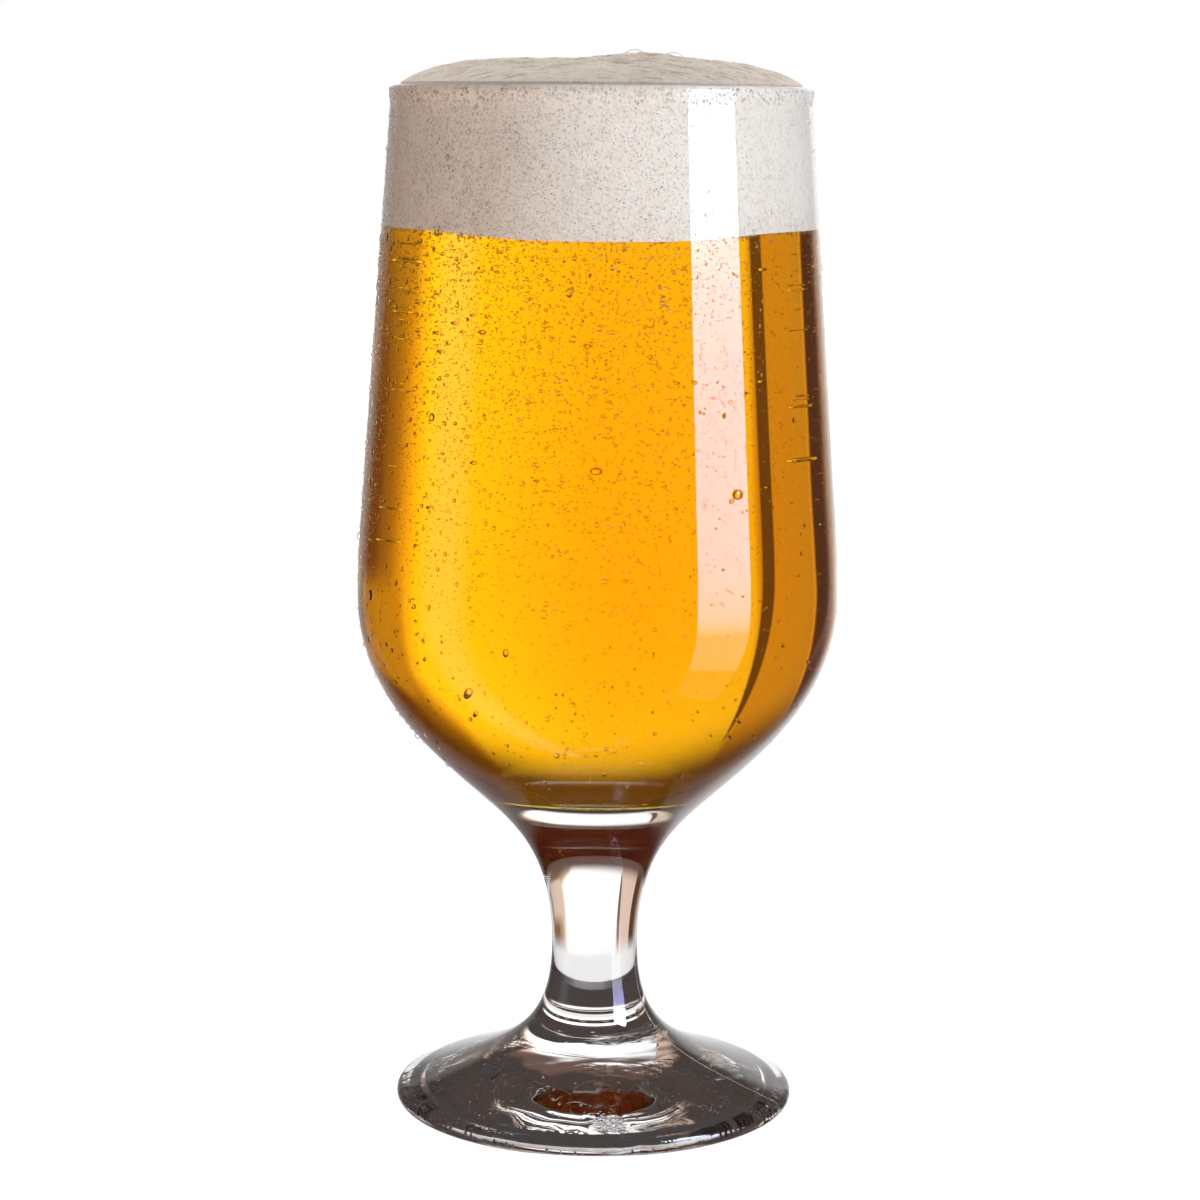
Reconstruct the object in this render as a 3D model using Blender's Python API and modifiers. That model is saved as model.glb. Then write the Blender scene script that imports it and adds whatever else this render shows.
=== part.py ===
# A pint of lager in a stemmed beer glass: the glass, the beer in it and its head of foam.
# Metres, +Z up. The origin is the centre of the foot's resting ring, on the table.

from math import cos, exp, hypot, pi, radians, sin, tan

import bmesh
import bpy
from mathutils import Vector, noise
from mathutils.geometry import interpolate_bezier

MM = 0.001
AROUND = 60  # facets round every turned piece
GAP = 0.3 * MM  # left between pieces that touch
WELD = 0.01 * MM

# The glass, from the lip down
RIM_HEIGHT = 187.0 * MM
LIP_RADIUS = 37.8 * MM
LIP_THICKNESS = 2.1 * MM
LIP_POINTS = 7
BEAD_DEPTH = 3.2 * MM  # the fire-polished bead under the lip
NECK_RADIUS = 37.6 * MM  # just under the bead
WALL = 2.1 * MM  # at the belly; the bottom is thicker
WALL_SLOPE = radians(4.3)  # how far the upper wall leans out, going down
BELLY_RADIUS = 43.85 * MM
BELLY_HEIGHT = 95.0 * MM
BELLY_RISE = 22.0 * MM  # the height over which the wall turns upright above the belly
BELLY_EASE = 8.0 * MM  # how long the wall keeps its slope at each end of that turn
BELLY_POINTS = 5

# The bowl's round side and the flare that runs down into the stem
SHOULDER_EASE = 16.2 * MM
SHOULDER_POINTS = 10
THROAT_RADIUS = 26.2 * MM  # where the round side turns into the flare
THROAT_HEIGHT = 62.7 * MM
THROAT_SLOPE = radians(47.0)
THROAT_EASE_ABOVE = 8.1 * MM
THROAT_EASE_BELOW = 12.9 * MM
WAIST_RADIUS = 7.95 * MM
WAIST_HEIGHT = 29.5 * MM
WAIST_EASE_ABOVE = 19.5 * MM
WAIST_EASE_BELOW = 17.7 * MM
FLARE_POINTS = 11

# The foot
FOOT_RADIUS = 36.8 * MM
FOOT_EDGE = 3.4 * MM  # thickness of the foot's rounded edge
FOOT_EDGE_POINTS = 7
FOOT_SLOPE = radians(20.0)  # of the foot's top, just inside its edge
FOOT_EASE = 19.3 * MM
FOOT_POINTS = 12
RING_WIDTH = 3.6 * MM  # the flat ring that the foot stands on
RECESS_STEP = 0.9 * MM
RECESS_SLOPE = radians(6.0)
RECESS_HEIGHT = 2.6 * MM  # of the hollow under the foot, at its centre
RECESS_EASE = 11.0 * MM
RECESS_POINTS = 5

# The cavity's lower end
CAVITY_BELLY_LIFT = 1.0 * MM  # how far the cavity's widest place is above the belly's
BOWL_EASE_BELLY = 18.0 * MM
BOWL_EASE_FLOOR = 11.0 * MM
BOWL_SLOPE = radians(52.0)  # where the cavity's side meets its nearly flat floor
BOWL_POINTS = 13
FLOOR_HEIGHT = 60.6 * MM
FLOOR_RADIUS = 17.0 * MM
FLOOR_RISE = 1.5 * MM
FLOOR_SLOPE = radians(60.0)
FLOOR_EASE_EDGE = 2.0 * MM
FLOOR_EASE_MIDDLE = 10.0 * MM
FLOOR_POINTS = 6

# The drink and its head
BEER_LEVEL = 161.0 * MM
DOME_HEIGHT = 4.3 * MM  # of the head above the rim
DOME_RADIUS = 36.7 * MM
DOME_POWER = 5  # the higher, the flatter the middle and the rounder the edge
HEAD_RINGS = 15
CREST_HEIGHT = 2.0 * MM  # the highest lump, right of the middle
CREST_PLACE = Vector((7.0, -4.0, 0.0)) * MM
CREST_SPREAD = 5.6 * MM
FOLD_HEIGHT = 0.7 * MM
FOLD_LENGTH = 13.0 * MM
FOLD_STRETCH = 1.7  # the folds are this much longer from side to side
FOLD_SMOOTHNESS = 1.0
FOLD_SCALE_STEP = 2.1
FOLD_SCALES = 2
RELIEF_POWER = 3  # how late the lumps fade out towards the rim


def run(start, lean_out, ease_out, end, lean_in, ease_in, count):
    """A smooth outline run of count points. It leaves start at lean_out and reaches end at lean_in, both
    measured from straight down towards the outside, and keeps each slope for about the ease beside it."""
    first = Vector(start) + ease_out * Vector((sin(lean_out), -cos(lean_out)))
    last = Vector(end) - ease_in * Vector((sin(lean_in), -cos(lean_in)))
    points = interpolate_bezier((*start, 0), (*first, 0), (*last, 0), (*end, 0), count)
    return [(p.x, p.y) for p in points]


def arc(centre, radius, begin, end, count):
    """Points on a circle from one angle to another, both counted from straight out."""
    turn = [begin + (end - begin) * k / (count - 1) for k in range(count)]
    return [(centre[0] + radius * cos(a), centre[1] + radius * sin(a)) for a in turn]


def lip():
    """The half-round lip, from its inner side over the top to the bead on its outer side."""
    half = LIP_THICKNESS / 2
    centre = (LIP_RADIUS - half, RIM_HEIGHT - half)
    return arc(centre, half, pi, 0, LIP_POINTS)


def wall(top):
    """The leaning wall from a point under the lip down to where it starts to turn upright."""
    turn_height = BELLY_HEIGHT + BELLY_RISE
    return top, (top[0] + (top[1] - turn_height) * tan(WALL_SLOPE), turn_height)


def bowl_outside():
    """The outer wall from the bead down to the waist of the stem."""
    neck, turn = wall((NECK_RADIUS, RIM_HEIGHT - BEAD_DEPTH))
    belly = (BELLY_RADIUS, BELLY_HEIGHT)
    throat = (THROAT_RADIUS, THROAT_HEIGHT)
    waist = (WAIST_RADIUS, WAIST_HEIGHT)
    side = run(turn, WALL_SLOPE, BELLY_EASE, belly, 0, BELLY_EASE, BELLY_POINTS)
    shoulder = run(belly, 0, SHOULDER_EASE, throat, -THROAT_SLOPE, THROAT_EASE_ABOVE, SHOULDER_POINTS)
    flare = run(throat, -THROAT_SLOPE, THROAT_EASE_BELOW, waist, 0, WAIST_EASE_ABOVE, FLARE_POINTS)
    return [neck] + side + shoulder[1:] + flare[1:]


def foot():
    """The foot from the waist over its rounded edge to the centre of its hollow underside."""
    edge = FOOT_EDGE / 2
    edge_centre = (FOOT_RADIUS - edge, edge)
    outward = pi / 2 - FOOT_SLOPE
    rounded = arc(edge_centre, edge, outward, -pi / 2, FOOT_EDGE_POINTS)
    waist = (WAIST_RADIUS, WAIST_HEIGHT)
    top = run(waist, 0, WAIST_EASE_BELOW, rounded[0], outward, FOOT_EASE, FOOT_POINTS)
    ring_inside = (edge_centre[0] - RING_WIDTH, 0)
    step = (ring_inside[0] - RECESS_STEP, RECESS_STEP)
    inward = -pi / 2
    recess = run(
        step, inward - RECESS_SLOPE, RECESS_EASE,
        (0, RECESS_HEIGHT), inward, RECESS_EASE, RECESS_POINTS,
    )
    return top[1:] + rounded[1:] + [ring_inside] + recess


def cavity():
    """The inner wall from the centre of the cavity's floor up to just under the lip."""
    top, turn = wall((LIP_RADIUS - LIP_THICKNESS, RIM_HEIGHT - BEAD_DEPTH))
    belly = (BELLY_RADIUS - WALL, BELLY_HEIGHT + CAVITY_BELLY_LIFT)
    floor_edge = (FLOOR_RADIUS, FLOOR_HEIGHT + FLOOR_RISE)
    side = run(turn, WALL_SLOPE, BELLY_EASE, belly, 0, BELLY_EASE, BELLY_POINTS)
    bowl = run(belly, 0, BOWL_EASE_BELLY, floor_edge, -BOWL_SLOPE, BOWL_EASE_FLOOR, BOWL_POINTS)
    floor = run(
        floor_edge, -FLOOR_SLOPE, FLOOR_EASE_EDGE,
        (0, FLOOR_HEIGHT), -pi / 2, FLOOR_EASE_MIDDLE, FLOOR_POINTS,
    )
    return ([top] + side + bowl[1:] + floor[1:])[::-1]


def inset(points, distance):
    """The same outline moved inwards, square to its own run. An end on the axis stays on it."""
    moved = []
    for k, (r, z) in enumerate(points):
        before = points[max(k - 1, 0)]
        after = points[min(k + 1, len(points) - 1)]
        along = Vector((after[0] - before[0], after[1] - before[1])).normalized()
        place = Vector((r, z)) + distance * Vector((-along.y, along.x))
        moved.append((0 if r == 0 else place.x, place.y))
    return moved


def radius_at(points, height):
    """The radius of an outline that only rises, at a height."""
    for (r_low, z_low), (r_high, z_high) in zip(points, points[1:]):
        if z_low <= height <= z_high:
            return r_low + (r_high - r_low) * (height - z_low) / (z_high - z_low)
    return points[-1][0]


def glass_outline():
    return cavity() + lip() + bowl_outside() + foot()


def beer_outline():
    """From the middle of the surface out to the wall, down it and back to the axis."""
    side = inset(cavity(), GAP)
    top = BEER_LEVEL - GAP / 2
    below = [p for p in side if p[1] < top - GAP]
    return [(0, top), (radius_at(side, top), top)] + below[::-1]


def foam_outline():
    """From the top of the dome out to the lip, down inside the wall and back to the axis."""
    side = inset(cavity(), GAP)
    bottom = BEER_LEVEL + GAP / 2
    edge = side[-1][0]
    dome = []
    for k in range(HEAD_RINGS + 1):
        reach = edge * k / HEAD_RINGS
        rise = DOME_HEIGHT * (1 - (reach / DOME_RADIUS) ** DOME_POWER)
        dome.append((reach, RIM_HEIGHT + rise))
    at_bottom = (radius_at(side, bottom), bottom)
    return dome + [(edge, RIM_HEIGHT - BEAD_DEPTH), at_bottom, (0, bottom)]


def head_relief(x, y):
    """The crest and the long folds of the poured head, fading out towards the rim."""
    edge = LIP_RADIUS - LIP_THICKNESS
    fade = 1 - min(hypot(x, y) / edge, 1) ** RELIEF_POWER
    away = hypot(x - CREST_PLACE.x, y - CREST_PLACE.y)
    crest = CREST_HEIGHT * exp(-((away / CREST_SPREAD) ** 2) / 2)
    place = Vector((x, FOLD_STRETCH * y, 0)) / FOLD_LENGTH
    folds = FOLD_HEIGHT * noise.fractal(place, FOLD_SMOOTHNESS, FOLD_SCALE_STEP, FOLD_SCALES)
    return (crest + folds) * fade


def finish(name, colour, roughness, transmission=0.0, ior=1.45):
    """A plain material with a piece's own colour and gloss."""
    made = bpy.data.materials.new(name)
    made.use_nodes = True
    shader = made.node_tree.nodes["Principled BSDF"]
    shader.inputs["Base Color"].default_value = (*colour, 1.0)
    shader.inputs["Roughness"].default_value = roughness
    shader.inputs["Metallic"].default_value = 0.0
    shader.inputs["Transmission Weight"].default_value = transmission
    shader.inputs["IOR"].default_value = ior
    return made


def turned(name, outline, material, collection):
    """A piece turned round +Z from an outline of (radius, height) points."""
    shape = bmesh.new()
    corners = [shape.verts.new((r, 0, z)) for r, z in outline]
    for above, below in zip(corners, corners[1:]):
        shape.edges.new((above, below))
    mesh = bpy.data.meshes.new(name)
    shape.to_mesh(mesh)
    shape.free()
    piece = bpy.data.objects.new(name, mesh)
    collection.objects.link(piece)
    turn = piece.modifiers.new("Turn", "SCREW")
    turn.axis = "Z"
    turn.steps = AROUND
    turn.render_steps = AROUND
    turn.use_merge_vertices = True
    turn.merge_threshold = WELD
    turn.use_smooth_shade = True
    piece.data.materials.append(material)
    return piece


def solid_of(piece):
    """The piece with its modifiers made real."""
    bpy.context.view_layer.update()
    evaluated = piece.evaluated_get(bpy.context.evaluated_depsgraph_get())
    mesh = bpy.data.meshes.new_from_object(evaluated)
    piece.modifiers.clear()
    piece.data = mesh
    return piece


def glass(collection):
    clear = finish("clear_glass", (0.98, 0.99, 0.99), 0.02, transmission=1.0, ior=1.5)
    return turned("glass", glass_outline(), clear, collection)


def beer(collection):
    golden = finish("golden_beer", (1.0, 0.5, 0.02), 0.03, transmission=0.9, ior=1.34)
    return turned("beer", beer_outline(), golden, collection)


def foam(collection):
    """The head. Its top is turned smooth and then lifted into lumps."""
    white = finish("beer_foam", (0.86, 0.82, 0.76), 0.55)
    piece = solid_of(turned("foam", foam_outline(), white, collection))
    for vertex in piece.data.vertices:
        if vertex.co.z > RIM_HEIGHT:
            vertex.co.z += head_relief(vertex.co.x, vertex.co.y)
    return piece


def main():
    for old in list(bpy.data.objects):
        bpy.data.objects.remove(old, do_unlink=True)
    collection = bpy.data.collections.new("pint_of_beer")
    bpy.context.scene.collection.children.link(collection)
    glass(collection)
    beer(collection)
    foam(collection)


main()
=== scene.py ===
import random
from math import atan2, cos, degrees, exp, hypot, pi, radians, sin, sqrt, tan

import bmesh
import bpy
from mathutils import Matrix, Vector, noise
from mathutils.geometry import interpolate_bezier


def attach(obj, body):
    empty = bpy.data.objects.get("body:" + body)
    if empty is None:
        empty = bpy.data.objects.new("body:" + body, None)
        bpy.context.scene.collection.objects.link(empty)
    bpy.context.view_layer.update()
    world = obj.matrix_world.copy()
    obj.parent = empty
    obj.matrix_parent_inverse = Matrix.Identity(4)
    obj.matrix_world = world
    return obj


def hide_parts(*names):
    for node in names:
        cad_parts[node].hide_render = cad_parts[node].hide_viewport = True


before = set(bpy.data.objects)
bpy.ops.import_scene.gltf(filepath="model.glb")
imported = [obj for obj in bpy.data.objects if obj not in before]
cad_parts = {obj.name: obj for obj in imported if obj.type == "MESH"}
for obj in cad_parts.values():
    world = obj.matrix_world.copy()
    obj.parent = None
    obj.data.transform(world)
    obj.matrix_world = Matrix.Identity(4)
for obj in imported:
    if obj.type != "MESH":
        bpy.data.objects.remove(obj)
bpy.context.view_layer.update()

# The glass. Pressed soda-lime glass, blown and fire-polished in one piece: a thin bowl with a beaded lip,
# a thick bottom that runs down into a solid stem, and a domed foot that is hollow underneath.
MM = 0.001
RIM_HEIGHT = 187.0 * MM
LIP_RADIUS = 37.8 * MM
LIP_THICKNESS = 2.1 * MM
BEAD_DEPTH = 3.2 * MM
NECK_RADIUS = 37.6 * MM
WALL = 2.1 * MM
WALL_SLOPE = radians(4.3)
BELLY_RADIUS = 43.85 * MM
BELLY_HEIGHT = 95.0 * MM
BELLY_RISE = 22.0 * MM
BELLY_EASE = 8.0 * MM
SHOULDER_EASE = 16.2 * MM
THROAT_RADIUS = 26.2 * MM
THROAT_HEIGHT = 62.7 * MM
THROAT_SLOPE = radians(47.0)
THROAT_EASE_ABOVE = 8.1 * MM
THROAT_EASE_BELOW = 12.9 * MM
WAIST_RADIUS = 7.95 * MM
WAIST_HEIGHT = 29.5 * MM
WAIST_EASE_ABOVE = 19.5 * MM
WAIST_EASE_BELOW = 17.7 * MM
FOOT_RADIUS = 36.8 * MM
FOOT_EDGE = 3.4 * MM
FOOT_SLOPE = radians(20.0)
FOOT_EASE = 19.3 * MM
RING_WIDTH = 3.6 * MM
RECESS_STEP = 0.9 * MM
RECESS_SLOPE = radians(6.0)
RECESS_HEIGHT = 2.6 * MM
RECESS_EASE = 11.0 * MM
CAVITY_BELLY_LIFT = 1.0 * MM
BOWL_EASE_BELLY = 18.0 * MM
BOWL_EASE_FLOOR = 11.0 * MM
BOWL_SLOPE = radians(52.0)
FLOOR_HEIGHT = 60.6 * MM
FLOOR_RADIUS = 17.0 * MM
FLOOR_RISE = 1.5 * MM
FLOOR_SLOPE = radians(60.0)
FLOOR_EASE_EDGE = 2.0 * MM
FLOOR_EASE_MIDDLE = 10.0 * MM
AROUND = 192
FINE = 28
COARSE = 12
STEPS = 24
SHARP = radians(32)


def run(start, lean_out, ease_out, end, lean_in, ease_in, count):
    """A smooth outline run from start to end. Both slopes are measured from straight down, outwards."""
    first = Vector(start) + ease_out * Vector((sin(lean_out), -cos(lean_out)))
    last = Vector(end) - ease_in * Vector((sin(lean_in), -cos(lean_in)))
    points = interpolate_bezier((*start, 0), (*first, 0), (*last, 0), (*end, 0), count)
    return [(p.x, p.y) for p in points]


def arc(centre, radius, begin, end, count):
    turn = [begin + (end - begin) * k / (count - 1) for k in range(count)]
    return [(centre[0] + radius * cos(a), centre[1] + radius * sin(a)) for a in turn]


def wall(top):
    turn_height = BELLY_HEIGHT + BELLY_RISE
    return top, (top[0] + (top[1] - turn_height) * tan(WALL_SLOPE), turn_height)


def straight(start, end):
    """Even steps from start up to, but not with, end."""
    return [tuple(Vector(start).lerp(Vector(end), k / STEPS)) for k in range(STEPS)]


def bowl_outside():
    neck, turn = wall((NECK_RADIUS, RIM_HEIGHT - BEAD_DEPTH))
    belly = (BELLY_RADIUS, BELLY_HEIGHT)
    throat = (THROAT_RADIUS, THROAT_HEIGHT)
    waist = (WAIST_RADIUS, WAIST_HEIGHT)
    side = run(turn, WALL_SLOPE, BELLY_EASE, belly, 0, BELLY_EASE, COARSE)
    shoulder = run(belly, 0, SHOULDER_EASE, throat, -THROAT_SLOPE, THROAT_EASE_ABOVE, FINE)
    flare = run(throat, -THROAT_SLOPE, THROAT_EASE_BELOW, waist, 0, WAIST_EASE_ABOVE, FINE)
    return straight(neck, turn) + side + shoulder[1:] + flare[1:]


def foot():
    edge = FOOT_EDGE / 2
    edge_centre = (FOOT_RADIUS - edge, edge)
    outward = pi / 2 - FOOT_SLOPE
    rounded = arc(edge_centre, edge, outward, -pi / 2, COARSE)
    waist = (WAIST_RADIUS, WAIST_HEIGHT)
    top = run(waist, 0, WAIST_EASE_BELOW, rounded[0], outward, FOOT_EASE, FINE)
    ring_inside = (edge_centre[0] - RING_WIDTH, 0)
    step = (ring_inside[0] - RECESS_STEP, RECESS_STEP)
    inward = -pi / 2
    recess = run(step, inward - RECESS_SLOPE, RECESS_EASE, (0, RECESS_HEIGHT), inward, RECESS_EASE, FINE)
    return top[1:] + rounded[1:] + [ring_inside] + recess


def cavity():
    top, turn = wall((LIP_RADIUS - LIP_THICKNESS, RIM_HEIGHT - BEAD_DEPTH))
    belly = (BELLY_RADIUS - WALL, BELLY_HEIGHT + CAVITY_BELLY_LIFT)
    floor_edge = (FLOOR_RADIUS, FLOOR_HEIGHT + FLOOR_RISE)
    side = run(turn, WALL_SLOPE, BELLY_EASE, belly, 0, BELLY_EASE, COARSE)
    bowl = run(belly, 0, BOWL_EASE_BELLY, floor_edge, -BOWL_SLOPE, BOWL_EASE_FLOOR, FINE)
    floor = run(
        floor_edge, -FLOOR_SLOPE, FLOOR_EASE_EDGE,
        (0, FLOOR_HEIGHT), -pi / 2, FLOOR_EASE_MIDDLE, COARSE,
    )
    return (straight(top, turn) + side + bowl[1:] + floor[1:])[::-1]


def lip():
    half = LIP_THICKNESS / 2
    return arc((LIP_RADIUS - half, RIM_HEIGHT - half), half, pi, 0, COARSE)


def spun(name, outline, steps=AROUND):
    """A piece spun round +Z from an outline of (radius, height) points."""
    shape = bmesh.new()
    corners = [shape.verts.new((r, 0, z)) for r, z in outline]
    edges = [shape.edges.new(pair) for pair in zip(corners, corners[1:])]
    bmesh.ops.spin(
        shape, geom=corners + edges, cent=(0, 0, 0), axis=(0, 0, 1),
        angle=2 * pi, steps=steps, use_merge=True,
    )
    bmesh.ops.remove_doubles(shape, verts=shape.verts, dist=0.001 * MM)
    bmesh.ops.recalc_face_normals(shape, faces=shape.faces)
    mesh = bpy.data.meshes.new(name)
    shape.to_mesh(mesh)
    shape.free()
    mesh.shade_smooth()
    mesh.set_sharp_from_angle(angle=SHARP)
    piece = bpy.data.objects.new(name, mesh)
    bpy.context.scene.collection.objects.link(piece)
    return piece


class Wire:
    """A socket of a material, so that shader maths reads as arithmetic."""

    def __init__(self, tree, socket):
        self.tree = tree
        self.socket = socket

    def add(self, kind, sockets=(), out=0, stops=(), **settings):
        """Adds a node: its settings and ramp stops first, then its sockets' values or links."""
        node = self.tree.nodes.new(kind if "Node" in kind else "ShaderNode" + kind)
        for key, value in settings.items():
            setattr(node, key, value)
        for k, (place, colour) in enumerate(stops):
            row = node.color_ramp.elements
            stop = row[k] if k < 2 else row.new(place)
            stop.position = place
            stop.color = (*colour, 1)
        for key, value in dict(sockets).items():
            if isinstance(value, Wire):
                self.tree.links.new(value.socket, node.inputs[key])
            else:
                node.inputs[key].default_value = value
        return Wire(self.tree, node.outputs[out])

    def maths(self, operation, *values):
        return self.add("Math", enumerate(values), operation=operation)

    def __add__(self, other):
        return self.maths("ADD", self, other)

    __radd__ = __add__

    def __mul__(self, other):
        return self.maths("MULTIPLY", self, other)

    __rmul__ = __mul__

    def __sub__(self, other):
        return self.maths("SUBTRACT", self, other)

    def __rsub__(self, other):
        return self.maths("SUBTRACT", other, self)

    def __truediv__(self, other):
        return self.maths("DIVIDE", self, other)

    def __abs__(self):
        return self.maths("ABSOLUTE", self)

    def fade(self, low, high, at_low=0.0, at_high=1.0):
        """A smooth change from at_low, where the value is low, to at_high, where it is high."""
        reach = {"Value": self, "From Min": low, "From Max": high, "To Min": at_low, "To Max": at_high}
        return self.add("MapRange", reach, interpolation_type="SMOOTHSTEP")

    def blend(self, other, share):
        """This colour, with a share of the other one."""
        return self.add("Mix", {0: share, 6: self, 7: other}, out=2, data_type="RGBA")

    def into(self, socket):
        self.tree.links.new(self.socket, socket)


def finish(name, **values):
    """A material of one finish: the material, its shader, and the place that its patterns read."""
    made = bpy.data.materials.new(name)
    made.use_nodes = True
    shader = made.node_tree.nodes["Principled BSDF"]
    for key, value in values.items():
        shader.inputs[key.replace("_", " ")].default_value = value
    coordinates = made.node_tree.nodes.new("ShaderNodeTexCoord")
    return made, shader, Wire(made.node_tree, coordinates.outputs["Object"])


GLASS_IOR = 1.5
WAVE_HEIGHT = 0.09 * MM
WAVE_LENGTH = 8.0 * MM
SEAM_BEARING = radians(68)
SEAM_WIDTH = 0.2 * MM
SEAM_HEIGHT = 0.1
SEAM_ENDS = (50 * MM, 62 * MM)
CHILL_HEIGHT = 0.15
CHILL_ENDS = (3.2 * MM, 4.2 * MM)
CHILL_SCALE = 420.0
PATCH_SCALE = 75.0

glass = spun("fine_glass", cavity() + lip() + bowl_outside() + foot())
# The pressed underside of the foot has slow, shallow waves.
for vertex in glass.data.vertices:
    x, y, z = vertex.co
    reach = hypot(x, y)
    if z < 1.5 * RECESS_HEIGHT and reach < FOOT_RADIUS - FOOT_EDGE:
        fade = min(1, (FOOT_RADIUS - FOOT_EDGE - reach) / RING_WIDTH)
        wave = noise.fractal(vertex.co / WAVE_LENGTH, 1.0, 2.3, 3)
        vertex.co.z = max(z + WAVE_HEIGHT * wave * fade, 0)
clear, shader, place = finish(
    "clear_glass", Base_Color=(1, 1, 1, 1), Roughness=0.0, Transmission_Weight=1.0, IOR=GLASS_IOR
)
height = place.add("SeparateXYZ", {0: place}, out="Z")
side_x = place.add("SeparateXYZ", {0: place}, out="X")
side_y = place.add("SeparateXYZ", {0: place}, out="Y")
across = side_x * cos(SEAM_BEARING) + side_y * sin(SEAM_BEARING)
# The two halves of the mould leave a fine line on the stem and the foot. The chilled metal of the mould
# leaves patches of fine grain under the foot.
seam = abs(across).fade(0, SEAM_WIDTH, 1, 0) * height.fade(*SEAM_ENDS, 1, 0)
chill = place.add("TexNoise", {"Vector": place, "Scale": CHILL_SCALE, "Detail": 3.0, "Roughness": 0.55})
underside = height.fade(*CHILL_ENDS, 1, 0)
patches = place.add("TexNoise", {"Vector": place, "Scale": PATCH_SCALE, "Detail": 1.0}).fade(0.5, 0.62)
relief = seam * SEAM_HEIGHT + chill * underside * patches * CHILL_HEIGHT
bump = relief.add("Bump", {"Height": relief, "Distance": 1.0 * MM, "Strength": 1.0})
bump.into(shader.inputs["Normal"])
glass.data.materials.append(clear)
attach(glass, "root")
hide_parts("glass")

# The stipple and the seeds of the foot. A ring of tiny glass beads is pressed under the foot so that it
# doesn't cling to a wet table, and hot glass that is pressed traps a few small bubbles of air.
STIPPLE_COUNT = 170
STIPPLE_SIZE = 0.42 * MM
SEED_COUNT = 60
SEED_REACH = 30 * MM
seeded = random.Random(11)


def strew(name, spots, rounds, material):
    """One mesh of many small round bodies. A spot is a place, the way it faces, and its three radii."""
    shape = bmesh.new()
    facing = shape.verts.layers.float_vector.new("facing")
    radii = shape.verts.layers.float_vector.new("radii")
    for place, way, size in spots:
        vertex = shape.verts.new(place)
        vertex[facing] = way
        vertex[radii] = size
    mesh = bpy.data.meshes.new(name)
    shape.to_mesh(mesh)
    shape.free()
    piece = bpy.data.objects.new(name, mesh)
    bpy.context.scene.collection.objects.link(piece)
    group = bpy.data.node_groups.new(name, "GeometryNodeTree")
    group.interface.new_socket("Geometry", in_out="INPUT", socket_type="NodeSocketGeometry")
    group.interface.new_socket("Geometry", in_out="OUTPUT", socket_type="NodeSocketGeometry")
    points = Wire(group, group.nodes.new("NodeGroupInput").outputs[0])
    if rounds:
        body = points.add("GeometryNodeMeshIcoSphere", {"Radius": 1.0, "Subdivisions": rounds})
    else:
        body = points.add("GeometryNodeMeshUVSphere", {"Radius": 1.0, "Segments": 4, "Rings": 2})
    way = points.add("GeometryNodeInputNamedAttribute", {"Name": "facing"}, data_type="FLOAT_VECTOR")
    size = points.add("GeometryNodeInputNamedAttribute", {"Name": "radii"}, data_type="FLOAT_VECTOR")
    out = points.add("FunctionNodeAlignRotationToVector", {"Vector": way}, axis="Z")
    upright = {"Rotation": out, "Vector": (0, 0, 1)}
    turn = points.add("FunctionNodeAlignRotationToVector", upright, axis="Y", pivot_axis="Z")
    bodies = {"Points": points, "Instance": body, "Rotation": turn, "Scale": size}
    strewn = points.add("GeometryNodeInstanceOnPoints", bodies)
    joined = points.add("GeometryNodeRealizeInstances", {"Geometry": strewn})
    smooth = points.add("GeometryNodeSetShadeSmooth", {"Geometry": joined})
    smooth.into(group.nodes.new("NodeGroupOutput").inputs[0])
    piece.modifiers.new("strew", "NODES").node_group = group
    scene_now = bpy.context.evaluated_depsgraph_get()
    finished = bpy.data.meshes.new_from_object(piece.evaluated_get(scene_now))
    piece.modifiers.clear()
    piece.data = finished
    finished.materials.clear()
    finished.materials.append(material)
    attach(piece, "root")
    return piece


stipple = []
for k in range(STIPPLE_COUNT):
    a = 2 * pi * k / STIPPLE_COUNT
    reach = FOOT_RADIUS - FOOT_EDGE / 2 - RING_WIDTH / 2
    size = STIPPLE_SIZE * seeded.uniform(0.85, 1.15)
    stipple.append(((reach * cos(a), reach * sin(a), size), (0, 0, 1), (size, size, size)))
strew("foot_stipple", stipple, 2, clear)
seeds = []
for k in range(SEED_COUNT):
    a = seeded.uniform(0, 2 * pi)
    reach = SEED_REACH * sqrt(seeded.uniform(0.05, 1))
    rise = RECESS_HEIGHT + seeded.uniform(0.6, 2.5) * MM
    size = seeded.uniform(0.14, 0.34) * MM
    seeds.append(((reach * cos(a), reach * sin(a), rise), (0, 0, 1), (size, size, size)))
strew("foot_seeds", seeds, 2, clear)

# The beer. A clear golden lager that fills the bowl up to the head and wets the glass all the way, so that it
# reaches just into the wall. The line where it meets the head dips at the front.
BEER_LEVEL = 161.0 * MM
BEER_IOR = 1.33
BEER_TINT = (0.997, 0.875, 0.0, 1)
TINT_DENSITY = 100.0
INTO_WALL = 0.15 * MM
SAG = 1.2 * MM
SAG_FROM = 12
SAG_TO = 56


def inset(points, distance):
    moved = []
    for k, (r, z) in enumerate(points):
        before = points[max(k - 1, 0)]
        after = points[min(k + 1, len(points) - 1)]
        along = Vector((after[0] - before[0], after[1] - before[1])).normalized()
        place = Vector((r, z)) + distance * Vector((-along.y, along.x))
        moved.append((0 if r == 0 else place.x, place.y))
    return moved


def radius_at(points, height):
    for (r_low, z_low), (r_high, z_high) in zip(points, points[1:]):
        if z_low <= height <= z_high:
            return r_low + (r_high - r_low) * (height - z_low) / (z_high - z_low)
    return points[-1][0]


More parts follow.
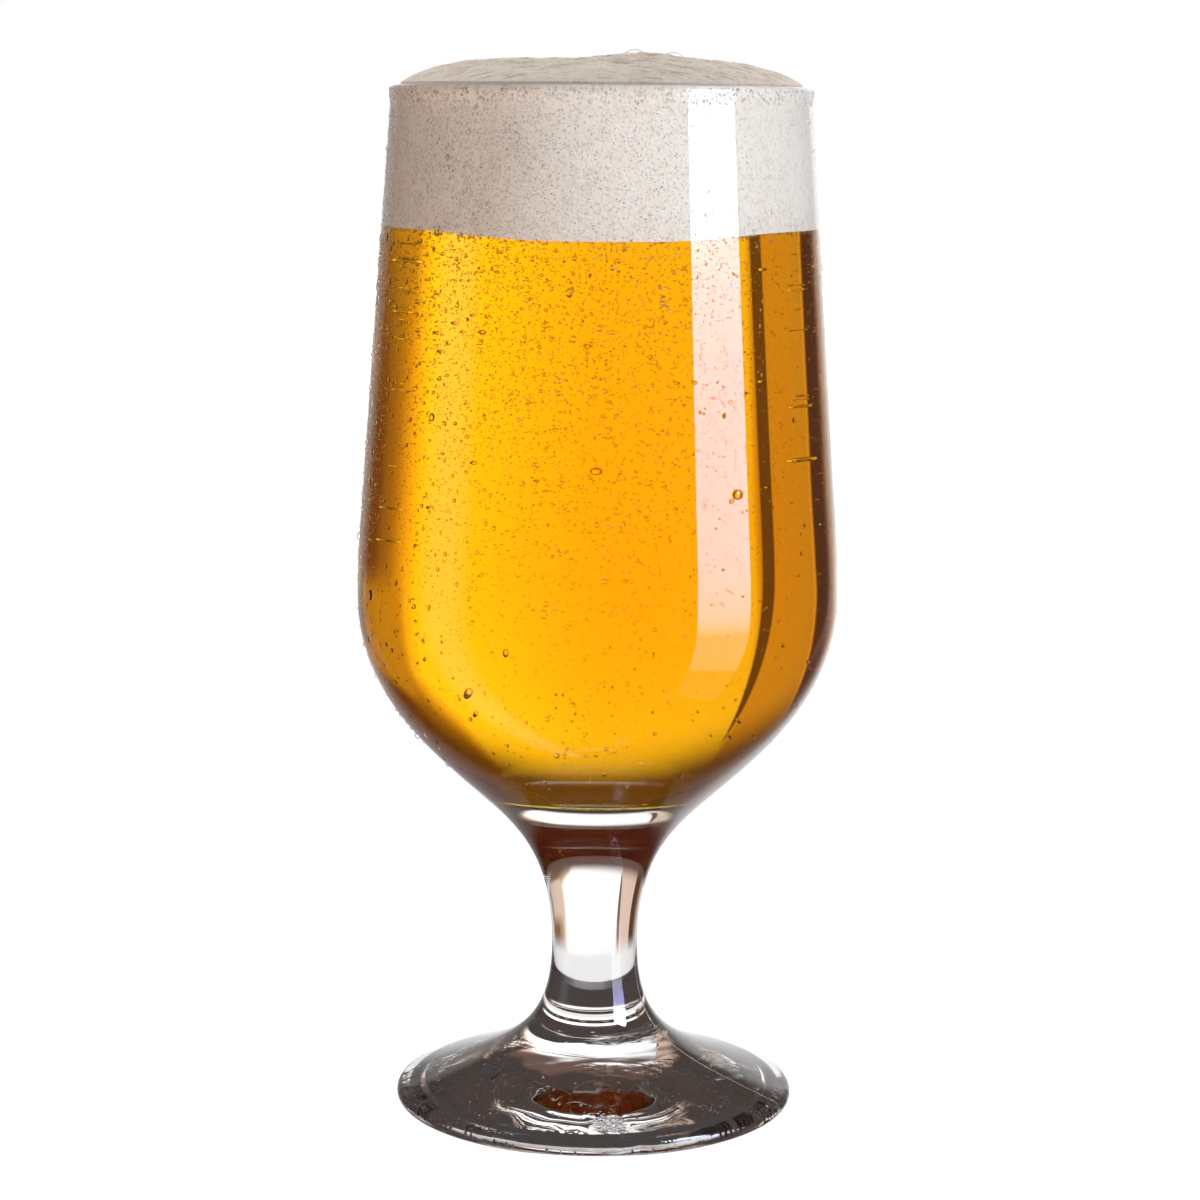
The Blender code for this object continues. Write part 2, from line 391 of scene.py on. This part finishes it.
def level_at(x, y):
    """The line where beer and foam meet at the wall. The foam sags a little at the front."""
    turn = min(max((degrees(abs(atan2(x, -y))) - SAG_FROM) / (SAG_TO - SAG_FROM), 0), 1)
    return BEER_LEVEL + SAG * turn * turn * (3 - 2 * turn)


def level_out(piece, depth):
    """Bends a piece's flat face at that depth under the beer's level to the line at the wall."""
    for vertex in piece.data.vertices:
        x, y, z = vertex.co
        if abs(z - BEER_LEVEL + depth) < 0.01 * MM and hypot(x, y) > NECK_RADIUS / 2:
            vertex.co.z = level_at(x, y) - depth


inner = inset(cavity(), -INTO_WALL)
below = [p for p in inner if p[1] < BEER_LEVEL - INTO_WALL]
beer = spun("fine_beer", [(0, BEER_LEVEL), (radius_at(inner, BEER_LEVEL), BEER_LEVEL)] + below[::-1])
level_out(beer, 0)
golden, shader, place = finish(
    "golden_lager", Base_Color=(1, 1, 1, 1), Roughness=0.0, Transmission_Weight=1.0, IOR=BEER_IOR
)
absorb = place.add("VolumeAbsorption", {"Color": BEER_TINT, "Density": TINT_DENSITY})
absorb.into(golden.node_tree.nodes["Material Output"].inputs["Volume"])
beer.data.materials.append(golden)
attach(beer, "root")
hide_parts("beer")

# The bubbles in the beer. Gas comes out of the beer at a rough ring on the floor of the bowl and at specks
# on its wall. The bubbles grow as they rise, and crowd under the head.
NUCLEUS_RADIUS = 4.6 * MM
RING_COUNT = 70
RISING_COUNT = 200
RISING_SPREAD = 2.5
WALL_BUBBLES = 40
WALL_BUBBLES_FROM = 66 * MM
CROWD_COUNT = 420
CROWD_DEPTH = 0.25
bubble_clear = finish(
    "bubble_clear", Base_Color=(1, 1, 1, 1), Roughness=0.0, Transmission_Weight=1.0, IOR=BEER_IOR
)[0]
gas = []
for k in range(RING_COUNT):
    a = seeded.uniform(0, 2 * pi)
    reach = NUCLEUS_RADIUS * seeded.uniform(0.93, 1.07)
    size = seeded.uniform(0.12, 0.26) * MM
    gas.append(((reach * cos(a), reach * sin(a), FLOOR_HEIGHT + 0.35 * MM), (0, 0, 1), (size,) * 3))
for k in range(RISING_COUNT):
    a = seeded.uniform(0, 2 * pi)
    rise = seeded.uniform(0, 1) ** 1.3
    reach = NUCLEUS_RADIUS * (1 + RISING_SPREAD * rise) * seeded.uniform(0.5, 1.1)
    size = (0.12 + 0.22 * rise) * seeded.uniform(0.7, 1.2) * MM
    height = FLOOR_HEIGHT + 1.2 * MM + rise * (BEER_LEVEL - FLOOR_HEIGHT - 3 * MM)
    gas.append(((reach * cos(a), reach * sin(a), height), (0, 0, 1), (size,) * 3))
for k in range(WALL_BUBBLES):
    a = seeded.uniform(0, 2 * pi)
    height = seeded.uniform(WALL_BUBBLES_FROM, BEER_LEVEL - 2 * MM)
    size = seeded.uniform(0.1, 0.2) * MM
    reach = radius_at(inner, height) - INTO_WALL - size
    gas.append(((reach * cos(a), reach * sin(a), height), (0, 0, 1), (size,) * 3))
for k in range(CROWD_COUNT):
    a = seeded.uniform(0, 2 * pi)
    size = seeded.uniform(0.1, 0.26) * MM
    height = level_at(cos(a), sin(a)) - size - abs(seeded.gauss(0, CROWD_DEPTH)) * MM
    reach = radius_at(inner, height) - INTO_WALL - size
    gas.append(((reach * cos(a), reach * sin(a), height), (0, 0, 1), (size,) * 3))
strew("beer_bubbles", gas, 2, bubble_clear)

# The head. Fine close foam that stands on the beer, fills the glass to the lip and bulges above it. Its top
# has soft folds and streaks where it was drawn level, and a low crest near the middle.
DOME_HEIGHT = 4.3 * MM
DOME_RADIUS = 36.7 * MM
DOME_POWER = 5
HEAD_RINGS = 100
HEAD_AROUND = 384
CREST_HEIGHT = 1.1 * MM
CREST_PLACE = Vector((7.0, -4.0, 0.0)) * MM
CREST_SPREAD = 5.6 * MM
FOLD_HEIGHT = 0.9 * MM
FOLD_LENGTH = 17.0 * MM
FOLD_STRETCH = 3.2
FOLD_BEND = 5 * MM
STREAK_HEIGHT = 0.8 * MM
STREAK_LENGTH = 8.0 * MM
STREAK_STRETCH = 4.0
CELL_SCALE = 1500.0
LARGE_CELL_SCALE = 520.0
FOAM_TONES = ((0.2, (0.93, 0.90, 0.85)), (0.62, (0.86, 0.81, 0.745)), (0.9, (0.74, 0.67, 0.59)))
# Painted shade: the brown that darkens the folds on top of the head.
FOLD_SHADOW_TONE = (0.46, 0.37, 0.31, 1)
bottom = BEER_LEVEL - INTO_WALL
edge = inner[-1][0]
dome = []
for k in range(HEAD_RINGS + 1):
    reach = edge * k / HEAD_RINGS
    dome.append((reach, RIM_HEIGHT + DOME_HEIGHT * (1 - (reach / DOME_RADIUS) ** DOME_POWER)))
skirt = [(edge, RIM_HEIGHT - BEAD_DEPTH), (radius_at(inner, bottom), bottom), (0, bottom)]
head = spun("fine_foam", dome + skirt, HEAD_AROUND)
level_out(head, INTO_WALL)
for vertex in head.data.vertices:
    x, y, z = vertex.co
    if z > RIM_HEIGHT:
        fade = 1 - min(hypot(x, y) / edge, 1) ** 6
        away = hypot(x - CREST_PLACE.x, y - CREST_PLACE.y)
        crest = CREST_HEIGHT * exp(-((away / CREST_SPREAD) ** 2) / 2)
        bend = noise.noise(Vector((x, y, 0)) / FOLD_LENGTH) * FOLD_BEND
        along = Vector((x, FOLD_STRETCH * (y + bend), 0)) / FOLD_LENGTH
        folds = FOLD_HEIGHT * (0.5 - abs(noise.fractal(along, 0.9, 2.1, 5)))
        along = Vector((x, STREAK_STRETCH * (y + bend), 1)) / STREAK_LENGTH
        streaks = STREAK_HEIGHT * (0.3 - abs(noise.fractal(along, 0.8, 2.2, 4)))
        vertex.co.z += (crest + folds + streaks) * fade
foam, shader, place = finish("close_foam", Roughness=0.62, Specular_IOR_Level=0.15)
# The foam's tone varies at random and is darker in the hollows between its cells: partly its own tone, partly
# painted shade.
cells = place.add("TexVoronoi", {"Vector": place, "Scale": CELL_SCALE}, out="Distance")
coarse = place.add("TexVoronoi", {"Vector": place, "Scale": LARGE_CELL_SCALE}, out="Distance")
cloud = place.add("TexNoise", {"Vector": place, "Scale": 60.0, "Detail": 3.0})
cell_tone_and_shade = cells * 0.45 + coarse * 0.25 + cloud * 0.45
tone = cell_tone_and_shade.add("ValToRGB", {"Fac": cell_tone_and_shade}, out="Color", stops=FOAM_TONES)
# Streaks of painted shade: a dark brown tone, drawn out across the top of the head, stands in for the shadows
# on the sides of its folds.
drawn = place.add("Mapping", {"Vector": place, "Scale": (1, 4.5, 3)})
fold_shadows = place.add("TexNoise", {"Vector": drawn, "Scale": 190.0, "Detail": 4.0, "Roughness": 0.6})
top = place.add("SeparateXYZ", {0: place}, out="Z").fade(RIM_HEIGHT, RIM_HEIGHT + 1.5 * MM)
tone = tone.blend(FOLD_SHADOW_TONE, fold_shadows.fade(0.5, 0.66) * top * 0.6)
tone.into(shader.inputs["Base Color"])
pores = 1 - (cells * 0.7 + coarse * 0.5)
bump = pores.add("Bump", {"Height": pores, "Distance": 0.2 * MM, "Strength": 0.55})
bump.into(shader.inputs["Normal"])
head.data.materials.append(foam)
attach(head, "root")
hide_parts("foam")

# The film bubbles. A few large bubbles of beer, with walls as thin as film, stand half out of the crest of
# the foam. Each has a place and a radius in millimetres.
FILM = 0.09 * MM
FILM_BUBBLES = (
    (5.8, -5.0, 190.4, 3.15), (12.6, -3.4, 190.2, 2.9), (9.6, -7.2, 190.1, 2.2), (1.2, -6.0, 189.9, 1.7),
    (-9.0, -8.0, 190.2, 1.2), (15.8, 1.5, 189.8, 1.9), (4.0, 7.5, 190.6, 1.5), (-16.0, 3.0, 190.0, 1.1),
)
shape = bmesh.new()
for x, y, z, size in FILM_BUBBLES:
    made = bmesh.ops.create_icosphere(shape, subdivisions=4, radius=size * MM)["verts"]
    bmesh.ops.translate(shape, vec=Vector((x, y, z)) * MM, verts=made)
bmesh.ops.recalc_face_normals(shape, faces=shape.faces)
bmesh.ops.solidify(shape, geom=shape.faces[:], thickness=FILM)
mesh = bpy.data.meshes.new("film_bubbles")
shape.to_mesh(mesh)
shape.free()
mesh.shade_smooth()
mesh.materials.append(bubble_clear)
films = bpy.data.objects.new("film_bubbles", mesh)
bpy.context.scene.collection.objects.link(films)
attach(films, "root")

# The condensation. The cold glass is covered in dew, thickest on one side and high up: a fine mist, drops
# that have grown and sagged, a close row of small drops on the bead of the lip, and a few large beads.
MIST_COUNT = 24000
MIST_FROM = 70 * MM
DROP_COUNT = 2000
DROPS_FROM = 64 * MM
LIP_DROPS = 1500
BEAD_COUNT = 26
BEADS_FROM = 66 * MM
DEW_TURN = radians(50)
DEW_RISE_FROM = 90 * MM
DEW_RISE = 70 * MM
WATER_IOR = 1.33
SUNK = 0.3
outside = lip()[COARSE // 2:] + bowl_outside()
dew = finish("dew", Base_Color=(1, 1, 1, 1), Roughness=0.0, Transmission_Weight=1.0, IOR=WATER_IOR)[0]


def on_wall(height, bearing, size, sag=1.0, depth=0.55):
    """A drop on the outside of the bowl. The bearing counts from the front, to the right."""
    for (r_high, z_high), (r_low, z_low) in zip(outside, outside[1:]):
        if z_low <= height <= z_high:
            reach = r_low + (r_high - r_low) * (height - z_low) / (z_high - z_low)
            lean = atan2(r_low - r_high, z_high - z_low)
            out = Vector((cos(lean) * sin(bearing), -cos(lean) * cos(bearing), sin(lean)))
            place = Vector((reach * sin(bearing), -reach * cos(bearing), height))
            return place + out * size * depth * (1 - 2 * SUNK), out, (size, size * sag, size * depth)


def dewy(height, bearing, low_share):
    """How much dew the wall holds there, from 0 to 1."""
    side = 0.38 + 0.62 * ((1 - sin(bearing)) / 2) ** 1.2
    front = 0.3 + 0.7 * (1 + cos(bearing + DEW_TURN)) / 2
    rise = min(max((height - DEW_RISE_FROM) / DEW_RISE, 0), 1)
    return side * front * (low_share + (1 - low_share) * rise)


def scatter(count, low_share, lowest, size_of, power):
    """Places for that many drops, where the wall is dewy. A high power keeps them to the wettest side."""
    spots = []
    while len(spots) < count:
        bearing = seeded.uniform(-pi, pi)
        height = seeded.uniform(lowest, RIM_HEIGHT - BEAD_DEPTH - 0.2 * MM)
        if seeded.random() < dewy(height, bearing, low_share) ** power:
            spots.append(on_wall(height, bearing, *size_of()))
    return spots


mist = scatter(MIST_COUNT, 0.12, MIST_FROM, lambda: (seeded.uniform(0.1, 0.18) * MM, 1.0), 1.0)
strew("dew_mist", mist, 0, dew)
drops = scatter(
    DROP_COUNT, 0.45, DROPS_FROM,
    lambda: ((0.2 + 0.24 * seeded.random() ** 3) * MM, seeded.uniform(0.9, 1.25)), 1.6,
)
strew("dew_drops", drops, 2, dew)
lip_drops = []
for k in range(LIP_DROPS):
    height = RIM_HEIGHT - seeded.uniform(0.5 * MM, BEAD_DEPTH)
    lip_drops.append(on_wall(height, seeded.uniform(-pi, pi), seeded.uniform(0.13, 0.26) * MM, 1.1))
strew("dew_lip", lip_drops, 1, dew)
beads = scatter(
    BEAD_COUNT, 0.7, BEADS_FROM,
    lambda: ((0.5 + 0.3 * seeded.random() ** 2) * MM, seeded.uniform(1.1, 1.4)), 2.5,
)
beads.append(on_wall(118 * MM, radians(34), 1.05 * MM, 0.85, 0.4))
beads.append(on_wall(117 * MM, radians(32.2), 0.5 * MM, 0.9, 0.4))
strew("dew_beads", beads, 3, dew)

# The table. A plain pale top, lit evenly and so bright that it runs into the pale wall behind. A dark disc
# of painted shade lies under the hollow of the foot and stands in for the shadow there, where little light
# gets in; it shows only through the glass. Both are staged, not part of the object.
TABLE_GLOW = 0.98
TABLE_SIZE = 6.0
TABLE_TONE = (0.15, 0.15, 0.15)
SHADE_TONE = (0.05, 0.04, 0.04)
scene = bpy.context.scene


def sheet(width, tall):
    shape = bmesh.new()
    bmesh.ops.create_grid(shape, x_segments=1, y_segments=1, size=0.5)
    bmesh.ops.scale(shape, vec=(width, tall, 1), verts=shape.verts)
    return shape


def staged(name, shape, colour, glow):
    """A flat staged piece that faces +Z, with one colour, and a glow of its own."""
    mesh = bpy.data.meshes.new(name)
    shape.to_mesh(mesh)
    shape.free()
    piece = bpy.data.objects.new(name, mesh)
    scene.collection.objects.link(piece)
    made, shader, place = finish(
        name, Base_Color=(*colour, 1), Roughness=0.9, Emission_Color=(1, 1, 1, 1), Emission_Strength=glow
    )
    mesh.materials.append(made)
    return piece, shader, place


table = staged("table", sheet(TABLE_SIZE, TABLE_SIZE), TABLE_TONE, TABLE_GLOW)[0]
table.visible_glossy = False
table.visible_transmission = False

disc = bmesh.new()
bmesh.ops.create_circle(disc, cap_ends=True, segments=AROUND, radius=FOOT_RADIUS - FOOT_EDGE)
shadow_disc = staged("foot_shade", disc, SHADE_TONE, 0)[0]
shadow_disc.visible_camera = False
shadow_disc.visible_diffuse = False
shadow_disc.visible_glossy = False

# The strip light. A tall narrow box of light stands in front of the glass, on the right, and is mirrored down
# the bowl. It is dim and a little blue below, and bright above, where it lights the foam from the side.
STRIP_WIDTH = 0.248
STRIP_TALL = 0.87
STRIP_BEARING = radians(59.5)
STRIP_AWAY = 0.5
STRIP_MIDDLE = 0.015
STRIP_GLOW = 42.0
STRIP_TONES = (
    (0.0, (0.01, 0.01, 0.01)), (0.28, (0.01, 0.01, 0.01)), (0.3, (0.045, 0.045, 0.045)),
    (0.47, (0.065, 0.06, 0.065)), (0.5, (0.115, 0.115, 0.15)), (0.52, (0.14, 0.14, 0.22)),
    (0.567, (0.16, 0.16, 0.285)), (0.61, (0.17, 0.17, 0.32)), (0.64, (0.18, 0.18, 0.35)),
    (0.684, (0.25, 0.25, 0.42)), (0.71, (0.52, 0.58, 0.63)), (1.0, (0.57, 0.74, 0.66)),
)
strip, shader, place = staged("strip_light", sheet(STRIP_WIDTH, STRIP_TALL), (0, 0, 0), STRIP_GLOW)
strip.location = (STRIP_AWAY * sin(STRIP_BEARING), -STRIP_AWAY * cos(STRIP_BEARING), STRIP_MIDDLE)
strip.rotation_euler = (pi / 2, 0, STRIP_BEARING)
strip.visible_camera = False
strip.visible_diffuse = False
strip.visible_transmission = False
along = place.add("SeparateXYZ", {0: place}, out="Y")
tones = along.add("ValToRGB", {"Fac": along + 0.5}, stops=STRIP_TONES)
tones.into(shader.inputs["Emission Color"])

# The studio. A white panel stands behind the glass, with a gap and a dimmer panel on one side and dark cards
# beside them. Each row below gives light by its bearing in degrees from straight behind, to the right: what
# shows through the glass, what comes from above, what the glass mirrors, and what lights the foam.
THROUGH = (
    (-180, (0.95, 0.93, 0.9)), (-125, (1.05, 0.9, 0.78)), (-118, (0.3, 0.24, 0.2)), (-108, (0.3, 0.24, 0.2)),
    (-101, (1.0, 1.0, 1.0)), (-66, (1.0, 1.0, 1.0)), (-60, (0.8, 0.64, 0.5)), (-55, (0.45, 0.3, 0.2)),
    (-51.5, (0.2, 0.11, 0.07)), (-49.5, (0.1, 0.05, 0.03)), (-40.8, (0.1, 0.05, 0.03)),
    (-40.2, (1.05, 0.75, 0.5)), (-38.7, (1.05, 0.75, 0.5)), (-38.1, (0.82, 0.6, 0.48)),
    (-21.0, (0.82, 0.6, 0.48)), (-20.4, (1.22, 1.22, 1.22)), (0, (1.42, 1.42, 1.42)),
    (8, (1.65, 1.65, 1.65)), (14, (1.75, 1.75, 1.75)), (25, (1.75, 1.75, 1.75)), (30, (1.15, 0.93, 0.76)),
    (34, (0.68, 0.47, 0.35)), (37, (0.48, 0.34, 0.25)), (40, (0.44, 0.3, 0.2)), (44, (0.28, 0.14, 0.07)),
    (58, (0.28, 0.18, 0.12)), (66, (1.0, 1.0, 1.0)), (101, (1.0, 1.0, 1.0)), (108, (0.3, 0.24, 0.2)),
    (118, (0.3, 0.24, 0.2)), (125, (0.95, 0.95, 0.93)), (180, (0.95, 0.93, 0.9)),
)
BESIDE = (0.82, 0.62, 0.48, 1)
GAP = (0.17, 0.12, 0.1, 1)
GAP_BEARING = -21.7
GAP_LEAN = 0.12
GAP_MIDDLE = -12
GAP_REACH = 29
GAP_WIDTH = 1.45
CEILING = (1.4, 1.35, 1.3, 1)
FLOOR = (0.92, 0.92, 0.92, 1)
ECHO = (0.07, 0.05, 0.043, 1)
ABOVE_LIFT = 9
ABOVE = (
    (-180, (1.9, 1.65, 1.4)), (-140, (2.6, 1.75, 1.3)), (-95, (2.6, 1.7, 1.25)), (-80, (0.16, 0.10, 0.08)),
    (80, (0.16, 0.10, 0.08)), (95, (1.9, 1.8, 1.7)), (140, (2.7, 2.5, 2.3)), (180, (1.9, 1.65, 1.4)),
)
MIRRORED = (
    (-180, (0.02,) * 3), (-118, (0.03,) * 3), (-108, (0.7,) * 3), (-98, (0.7,) * 3), (-86, (0.03,) * 3),
    (-38, (0.02,) * 3), (-30, (0.25,) * 3), (-12, (0.5,) * 3), (-8, (1.0,) * 3), (12, (1.1,) * 3),
    (20, (1.0,) * 3), (25, (0.5,) * 3), (33, (0.15,) * 3), (40, (0.06,) * 3), (180, (0.02,) * 3),
)
DIFFUSED = (
    (-180, (0.24, 0.21, 0.19)), (-110, (0.3, 0.26, 0.23)), (-60, (1.5, 1.38, 1.3)), (60, (1.8, 1.7, 1.63)),
    (110, (0.5, 0.46, 0.42)), (180, (0.24, 0.21, 0.19)),
)
world = bpy.data.worlds.new("studio")
scene.world = world
world.use_nodes = True
tree = world.node_tree
background = tree.nodes["Background"]
way = Wire(tree, tree.nodes.new("ShaderNodeTexCoord").outputs["Generated"])
way_x = way.add("SeparateXYZ", {0: way}, out="X")
way_y = way.add("SeparateXYZ", {0: way}, out="Y")
way_z = way.add("SeparateXYZ", {0: way}, out="Z")
bearing = way.maths("ARCTAN2", way_x, way_y) / radians(1)
rise = way.maths("ARCSINE", way_z) / radians(1)


def round_studio(stops, at):
    """The light that comes from each bearing. A ramp runs from 0 to 1 and holds no more than 1."""
    most = max(max(colour) for _, colour in stops)
    row = [((a + 180) / 360, tuple(c / most for c in colour)) for a, colour in stops]
    found = at.add("ValToRGB", {"Fac": at / 360 + 0.5}, stops=row)
    return found.add("VectorMath", {0: found, 1: (most, most, most)}, operation="MULTIPLY")


# The gap between the panels leans a little and narrows to its ends.
middle = GAP_BEARING + rise * GAP_LEAN
reach = (rise - GAP_MIDDLE) / GAP_REACH
width = GAP_WIDTH * (1 - reach * reach)
gap = (abs(bearing - middle) - width).fade(-0.3, 0.3, 1, 0)
path = {
    k: way.add("LightPath", out=k)
    for k in ("Is Camera Ray", "Is Reflection Ray", "Is Diffuse Ray", "Glossy Depth")
}
# The white panel leans, so its right-hand edge moves in as it rises, and a low panel stands beside it.
leaning = bearing + 1.2 * bearing.fade(10, 22) * (rise.maths("MAXIMUM", rise, 6) - 6)
beside = bearing.fade(28, 32) * bearing.fade(52, 60, 1, 0) * rise.fade(-11, -4) * rise.fade(10, 14, 1, 0)
through = round_studio(THROUGH, leaning).blend(BESIDE, beside)
through = through.blend(GAP, gap * rise.fade(16, 18, 1, 0))
# The panels end above, sooner behind the viewer, and the pale ceiling and floor go on from there.
lift = ABOVE_LIFT * abs(bearing).fade(80, 100)
through = through.blend(round_studio(ABOVE, bearing), (rise + lift).fade(9, 25))
through = through.blend(CEILING, rise.fade(42, 55) * abs(bearing).fade(80, 100, 1, 0))
through = through.blend(FLOOR, rise.fade(-20, -12, 1, 0))
# Light that has been thrown back inside the glass meets the dark cards.
aside = abs(bearing).fade(26, 34) + rise.fade(-30, -20, 1, 0) + rise.fade(30, 45)
echo = path["Glossy Depth"].fade(0, 1) * aside
through = through.blend(ECHO, echo)
mirrored = round_studio(MIRRORED, bearing).blend((0.03, 0.03, 0.03, 1), rise.fade(18, 24))
diffused = round_studio(DIFFUSED, bearing)
light = through.blend(mirrored, path["Is Reflection Ray"])
light = light.blend(diffused, path["Is Diffuse Ray"]).blend((1, 1, 1, 1), path["Is Camera Ray"])
light.into(background.inputs["Color"])
world.cycles.sampling_method = "NONE"

# The camera. It stands in front of the glass, a little above the level of the beer, and looks slightly down
# at it with a short telephoto lens.
DISTANCE = 563.9 * MM
EYE_HEIGHT = 181.8 * MM
EYE_ASIDE = -0.25 * MM
PITCH = radians(8.84)
ROLL = radians(0.47)
SENSOR = 36
FOCAL_LENGTH = 93.4
lens = bpy.data.cameras.new("camera")
lens.sensor_width = SENSOR
lens.lens = FOCAL_LENGTH
camera = bpy.data.objects.new("camera", lens)
scene.collection.objects.link(camera)
camera.location = (EYE_ASIDE, -DISTANCE, EYE_HEIGHT)
camera.rotation_euler = (pi / 2 - PITCH, -ROLL, 0)
scene.camera = camera
scene.view_settings.view_transform = "Standard"
scene.cycles.max_bounces = 32
scene.cycles.transmission_bounces = 32
scene.cycles.glossy_bounces = 16
scene.cycles.transparent_max_bounces = 32
